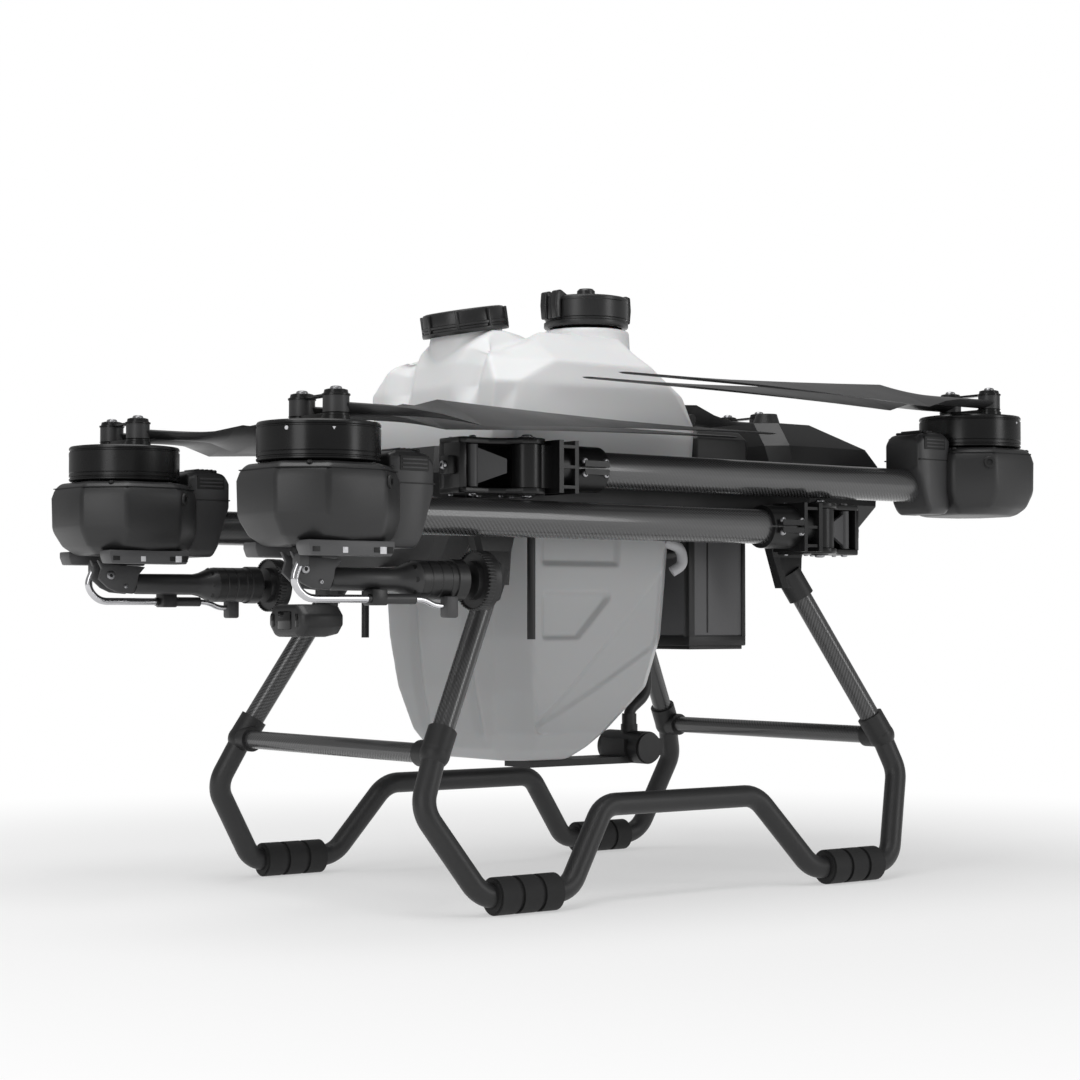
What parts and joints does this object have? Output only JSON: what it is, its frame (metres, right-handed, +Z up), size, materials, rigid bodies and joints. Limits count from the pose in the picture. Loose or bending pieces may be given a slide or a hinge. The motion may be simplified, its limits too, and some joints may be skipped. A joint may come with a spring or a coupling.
{
  "type": "agricultural spray drone",
  "caption": "Folding spray drone with hinged rotor arms, a lift-out liquid tank and battery, fold-down spinning nozzles and a tubular skid landing gear.",
  "frame": {"origin": "on the ground plane, midway between the landing feet, on the centre plane", "axes": "+Z up, the nose faces -Y, +X is the left side of the drone; X is mirrored about the centre plane and the length runs along Y"},
  "size_m": [0.679, 1.322, 0.848],
  "materials": {
    "carbon_tube": "woven carbon fibre tube, clear coated",
    "carbon_leg": "woven carbon fibre tube",
    "hinge_metal": "black anodised cast hinge",
    "pod_plastic": "dark grey moulded nylon",
    "controller_metal": "dark finned aluminium casing",
    "motor_metal": "satin black anodised bell",
    "blade_plastic": "dark moulded carbon-filled nylon",
    "latch_plastic": "grey moulded lever",
    "steel": "stainless steel",
    "nozzle_plastic": "black moulded plastic",
    "skid_metal": "powder-coated aluminium tube",
    "rubber": "black rubber",
    "fitting_plastic": "black moulded clamp",
    "frame_metal": "dark anodised aluminium section",
    "cover_plastic": "dark grey moulded cover",
    "electronics": "black sealed electronics case",
    "tank_plastic": "translucent white polyethylene",
    "cap_plastic": "black moulded cap",
    "hose": "pale translucent hose",
    "battery_case": "ribbed aluminium battery case with black ends"
  },
  "bodies": {
    "airframe": {"antennas": "cover_plastic", "camera_pod": "cover_plastic", "cross_members": "frame_metal", "crossbars": "carbon_leg", "flight_controller": "electronics", "front_cover": "cover_plastic", "hinge_forks": "hinge_metal", "hinge_pins": "steel", "leg_fittings": "fitting_plastic", "rear_cover": "cover_plastic", "rubber_feet": "rubber", "side_rails": "frame_metal", "skid_left": "skid_metal", "skid_right": "skid_metal", "upper_legs": "carbon_leg"},
    "arm_front_left": {"arm_tube_front_left": "carbon_tube", "arm_knuckle_front_left": "hinge_metal", "motor_pod_front_left": "pod_plastic", "speed_controller_front_left": "controller_metal"},
    "rotor_front_left": {"rotor_front_left": "motor_metal"},
    "blade_outer_front_left": {"blade_outer_front_left": "blade_plastic"},
    "blade_inner_front_left": {"blade_inner_front_left": "blade_plastic"},
    "latch_front_left": {"fold_latch_front_left": "latch_plastic"},
    "arm_front_right": {"arm_tube_front_right": "carbon_tube", "arm_knuckle_front_right": "hinge_metal", "motor_pod_front_right": "pod_plastic", "speed_controller_front_right": "controller_metal"},
    "rotor_front_right": {"rotor_front_right": "motor_metal"},
    "blade_outer_front_right": {"blade_outer_front_right": "blade_plastic"},
    "blade_inner_front_right": {"blade_inner_front_right": "blade_plastic"},
    "latch_front_right": {"fold_latch_front_right": "latch_plastic"},
    "arm_rear_left": {"arm_tube_rear_left": "carbon_tube", "arm_knuckle_rear_left": "hinge_metal", "motor_pod_rear_left": "pod_plastic", "speed_controller_rear_left": "controller_metal"},
    "rotor_rear_left": {"rotor_rear_left": "motor_metal"},
    "blade_outer_rear_left": {"blade_outer_rear_left": "blade_plastic"},
    "blade_inner_rear_left": {"blade_inner_rear_left": "blade_plastic"},
    "latch_rear_left": {"fold_latch_rear_left": "latch_plastic"},
    "arm_rear_right": {"arm_tube_rear_right": "carbon_tube", "arm_knuckle_rear_right": "hinge_metal", "motor_pod_rear_right": "pod_plastic", "speed_controller_rear_right": "controller_metal"},
    "rotor_rear_right": {"rotor_rear_right": "motor_metal"},
    "blade_outer_rear_right": {"blade_outer_rear_right": "blade_plastic"},
    "blade_inner_rear_right": {"blade_inner_rear_right": "blade_plastic"},
    "latch_rear_right": {"fold_latch_rear_right": "latch_plastic"},
    "nozzle_left": {"nozzle_left": "nozzle_plastic", "nozzle_pipe_left": "steel"},
    "disc_left": {"spray_disc_left": "nozzle_plastic"},
    "nozzle_right": {"nozzle_right": "nozzle_plastic", "nozzle_pipe_right": "steel"},
    "disc_right": {"spray_disc_right": "nozzle_plastic"},
    "tank": {"tank": "tank_plastic", "spray_pump": "nozzle_plastic", "tank_hoses": "hose"},
    "filler_cap": {"filler_cap": "cap_plastic"},
    "tank_lid": {"tank_lid": "cap_plastic"},
    "battery": {"battery": "battery_case", "battery_handle": "battery_case"}
  },
  "joints": [
    {"name": "arm_fold_front_left", "type": "hinge", "parent": "airframe", "child": "arm_front_left", "pos_m": [0.2515, -0.26, 0.565], "axis": [0, 0, -1], "range_deg": [0, 135]},
    {"name": "rotor_turn_front_left", "type": "hinge", "parent": "arm_front_left", "child": "rotor_front_left", "pos_m": [0.2515, 0.573, 0.655], "axis": [0, 0, 1], "range_deg": [0, 150]},
    {"name": "blade_outer_open_front_left", "type": "hinge", "parent": "rotor_front_left", "child": "blade_outer_front_left", "pos_m": [0.29, 0.573, 0.692], "axis": [0, 0, 1], "range_deg": [0, 90]},
    {"name": "blade_inner_open_front_left", "type": "hinge", "parent": "rotor_front_left", "child": "blade_inner_front_left", "pos_m": [0.213, 0.573, 0.692], "axis": [0, 0, 1], "range_deg": [-90, 0]},
    {"name": "latch_open_front_left", "type": "hinge", "parent": "airframe", "child": "latch_front_left", "pos_m": [0.2295, -0.33, 0.565], "axis": [0, 0, -1], "range_deg": [0, 90]},
    {"name": "arm_fold_front_right", "type": "hinge", "parent": "airframe", "child": "arm_front_right", "pos_m": [-0.2515, -0.26, 0.565], "axis": [0, 0, 1], "range_deg": [0, 135]},
    {"name": "rotor_turn_front_right", "type": "hinge", "parent": "arm_front_right", "child": "rotor_front_right", "pos_m": [-0.2515, 0.573, 0.655], "axis": [0, 0, -1], "range_deg": [0, 150]},
    {"name": "blade_outer_open_front_right", "type": "hinge", "parent": "rotor_front_right", "child": "blade_outer_front_right", "pos_m": [-0.29, 0.573, 0.692], "axis": [0, 0, -1], "range_deg": [0, 90]},
    {"name": "blade_inner_open_front_right", "type": "hinge", "parent": "rotor_front_right", "child": "blade_inner_front_right", "pos_m": [-0.213, 0.573, 0.692], "axis": [0, 0, -1], "range_deg": [-90, 0]},
    {"name": "latch_open_front_right", "type": "hinge", "parent": "airframe", "child": "latch_front_right", "pos_m": [-0.2295, -0.33, 0.565], "axis": [0, 0, 1], "range_deg": [0, 90]},
    {"name": "arm_fold_rear_left", "type": "hinge", "parent": "airframe", "child": "arm_rear_left", "pos_m": [0.2515, 0.26, 0.498], "axis": [0, 0, 1], "range_deg": [0, 135]},
    {"name": "rotor_turn_rear_left", "type": "hinge", "parent": "arm_rear_left", "child": "rotor_rear_left", "pos_m": [0.2515, -0.573, 0.588], "axis": [0, 0, -1], "range_deg": [0, 150]},
    {"name": "blade_outer_open_rear_left", "type": "hinge", "parent": "rotor_rear_left", "child": "blade_outer_rear_left", "pos_m": [0.29, -0.573, 0.625], "axis": [0, 0, -1], "range_deg": [0, 90]},
    {"name": "blade_inner_open_rear_left", "type": "hinge", "parent": "rotor_rear_left", "child": "blade_inner_rear_left", "pos_m": [0.213, -0.573, 0.625], "axis": [0, 0, -1], "range_deg": [-90, 0]},
    {"name": "latch_open_rear_left", "type": "hinge", "parent": "airframe", "child": "latch_rear_left", "pos_m": [0.2295, 0.33, 0.498], "axis": [0, 0, 1], "range_deg": [0, 90]},
    {"name": "arm_fold_rear_right", "type": "hinge", "parent": "airframe", "child": "arm_rear_right", "pos_m": [-0.2515, 0.26, 0.498], "axis": [0, 0, -1], "range_deg": [0, 135]},
    {"name": "rotor_turn_rear_right", "type": "hinge", "parent": "arm_rear_right", "child": "rotor_rear_right", "pos_m": [-0.2515, -0.573, 0.588], "axis": [0, 0, 1], "range_deg": [0, 150]},
    {"name": "blade_outer_open_rear_right", "type": "hinge", "parent": "rotor_rear_right", "child": "blade_outer_rear_right", "pos_m": [-0.29, -0.573, 0.625], "axis": [0, 0, 1], "range_deg": [0, 90]},
    {"name": "blade_inner_open_rear_right", "type": "hinge", "parent": "rotor_rear_right", "child": "blade_inner_rear_right", "pos_m": [-0.213, -0.573, 0.625], "axis": [0, 0, 1], "range_deg": [-90, 0]},
    {"name": "latch_open_rear_right", "type": "hinge", "parent": "airframe", "child": "latch_rear_right", "pos_m": [-0.2295, 0.33, 0.498], "axis": [0, 0, -1], "range_deg": [0, 90]},
    {"name": "nozzle_fold_left", "type": "hinge", "parent": "arm_rear_left", "child": "nozzle_left", "pos_m": [0.2515, -0.6, 0.429], "axis": [-1, 0, 0], "range_deg": [0, 90]},
    {"name": "disc_spin_left", "type": "hinge", "parent": "nozzle_left", "child": "disc_left", "pos_m": [0.2515, -0.35, 0.418], "axis": [0, 1, 0], "continuous": true},
    {"name": "nozzle_fold_right", "type": "hinge", "parent": "arm_rear_right", "child": "nozzle_right", "pos_m": [-0.2515, -0.6, 0.429], "axis": [-1, 0, 0], "range_deg": [0, 90]},
    {"name": "disc_spin_right", "type": "hinge", "parent": "nozzle_right", "child": "disc_right", "pos_m": [-0.2515, -0.35, 0.418], "axis": [0, 1, 0], "continuous": true},
    {"name": "tank_lift", "type": "slide", "parent": "airframe", "child": "tank", "axis": [0, 0, 1], "range_m": [0, 0.42]},
    {"name": "battery_lift", "type": "slide", "parent": "airframe", "child": "battery", "axis": [0, 0, 1], "range_m": [0, 0.32]},
    {"name": "filler_cap_turn", "type": "hinge", "parent": "tank", "child": "filler_cap", "pos_m": [0, -0.176, 0.764], "axis": [0, -0.1736, 0.9848], "range_deg": [0, 180]},
    {"name": "tank_lid_turn", "type": "hinge", "parent": "tank", "child": "tank_lid", "pos_m": [0, 0.037, 0.8], "axis": [0, 0, 1], "range_deg": [0, 90]}
  ],
  "couplings": [
    {"joint": "blade_outer_open_front_left", "follows": "rotor_turn_front_left", "ratio": 0.6},
    {"joint": "blade_inner_open_front_left", "follows": "rotor_turn_front_left", "ratio": -0.6},
    {"joint": "blade_outer_open_front_right", "follows": "rotor_turn_front_right", "ratio": 0.6},
    {"joint": "blade_inner_open_front_right", "follows": "rotor_turn_front_right", "ratio": -0.6},
    {"joint": "blade_outer_open_rear_left", "follows": "rotor_turn_rear_left", "ratio": 0.6},
    {"joint": "blade_inner_open_rear_left", "follows": "rotor_turn_rear_left", "ratio": -0.6},
    {"joint": "blade_outer_open_rear_right", "follows": "rotor_turn_rear_right", "ratio": 0.6},
    {"joint": "blade_inner_open_rear_right", "follows": "rotor_turn_rear_right", "ratio": -0.6}
  ]
}
